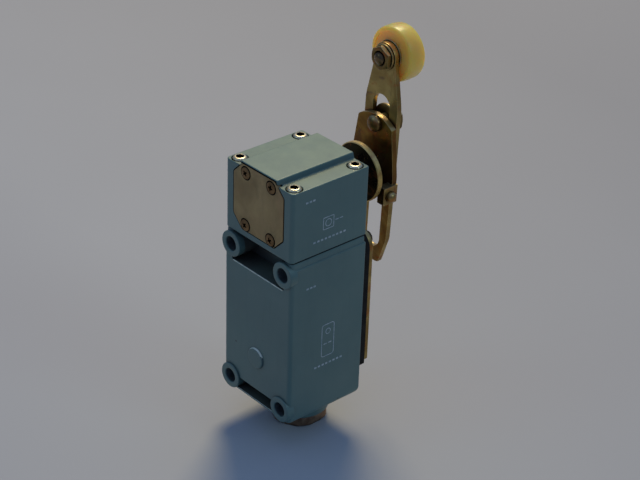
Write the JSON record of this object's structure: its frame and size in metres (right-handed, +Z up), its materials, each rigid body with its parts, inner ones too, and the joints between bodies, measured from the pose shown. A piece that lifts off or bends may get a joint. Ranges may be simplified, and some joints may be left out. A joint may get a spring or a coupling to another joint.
{
  "type": "limit switch",
  "caption": "Heavy-duty limit switch: a die-cast body with a separate head and an adjustable slotted roller lever.",
  "frame": {"origin": "centre of the rectangle of four fixing holes, on the body's flat rear face", "axes": "-Y out of the rear face, towards the surface the switch is fixed to; +Z up, along the body towards the head and the roller; +X across the switch"},
  "size_m": [0.0404, 0.0731, 0.1568],
  "materials": {
    "paint": "satin",
    "chromate": "satin",
    "rear_plate": "matte",
    "bright_screws": "polished",
    "stained_screws": "satin",
    "steel": "satin",
    "brass": "satin",
    "nylon": "satin",
    "rubber": "matte",
    "moulding": "matte",
    "gland": "satin"
  },
  "bodies": {
    "housing": {"body_housing": "paint", "head_housing": "paint", "head_gasket": "rubber", "head_screw_1": "bright_screws", "head_screw_2": "bright_screws", "head_screw_3": "bright_screws", "head_screw_4": "bright_screws", "rear_plate": "rear_plate", "rear_plate_seal": "rubber", "rear_plate_screw_1": "stained_screws", "rear_plate_screw_2": "stained_screws", "rear_plate_screw_3": "stained_screws", "rear_plate_screw_4": "stained_screws", "body_cover": "chromate", "cover_gasket": "rubber", "cover_screw_1": "steel", "cover_screw_2": "steel", "cover_screw_3": "steel", "cover_screw_4": "steel", "gland_nut": "gland", "gland_washer": "steel", "gland_seal": "rubber", "shaft_bush": "brass", "shaft_seal": "rubber", "contact_block": "moulding", "terminal_1": "brass", "terminal_2": "brass", "terminal_3": "brass", "terminal_4": "brass", "terminal_screw_1": "brass", "terminal_screw_2": "brass", "terminal_screw_3": "brass", "terminal_screw_4": "brass", "block_screw_1": "steel", "block_screw_2": "steel", "earth_screw": "steel", "return_spring_left": "steel", "return_spring_right": "steel"},
    "shaft_and_cams": {"shaft": "steel", "cam_left": "steel", "cam_right": "steel", "shaft_circlip": "steel", "lever_disc": "chromate"},
    "lever": {"lever_base": "chromate", "pinch_screw": "chromate", "pinch_nut": "chromate", "clamp_bolt": "chromate", "clamp_washer": "chromate", "clamp_nut": "chromate"},
    "slotted_arm": {"lever_arm": "chromate", "roller_axle": "chromate", "axle_washer": "chromate", "axle_nut": "chromate", "roller_spacer": "chromate"},
    "roller_wheel": {"roller": "nylon"},
    "left_plunger": {"plunger_left": "steel", "contact_bridge_left": "brass"},
    "right_plunger": {"plunger_right": "steel", "contact_bridge_right": "brass"}
  },
  "joints": [
    {"name": "lever_turn", "type": "hinge", "parent": "housing", "child": "shaft_and_cams", "pos_m": [0, 0, 0.0506], "axis": [0, 1, 0], "range_deg": [-70, 70], "stiffness_Nm_per_rad": 0.12},
    {"name": "lever_set", "type": "hinge", "parent": "shaft_and_cams", "child": "lever", "pos_m": [0, 0.0577, 0.0506], "axis": [0, 1, 0], "continuous": true},
    {"name": "arm_length", "type": "slide", "parent": "lever", "child": "slotted_arm", "axis": [0.0349, 0, 0.9994], "range_m": [-0.008, 0.031]},
    {"name": "roller_spin", "type": "hinge", "parent": "slotted_arm", "child": "roller_wheel", "pos_m": [0.00161, 0.066, 0.09657], "axis": [0, 1, 0], "continuous": true},
    {"name": "plunger_left_slide", "type": "slide", "parent": "housing", "child": "left_plunger", "axis": [0, 0, 1], "range_m": [-0.004, 0.004], "deforming": ["return_spring_left"]},
    {"name": "plunger_right_slide", "type": "slide", "parent": "housing", "child": "right_plunger", "axis": [0, 0, 1], "range_m": [-0.004, 0.004], "deforming": ["return_spring_right"]}
  ],
  "couplings": [
    {"joint": "plunger_left_slide", "follows": "lever_turn", "m_per_rad": 0.0032},
    {"joint": "plunger_right_slide", "follows": "lever_turn", "m_per_rad": -0.0032}
  ]
}
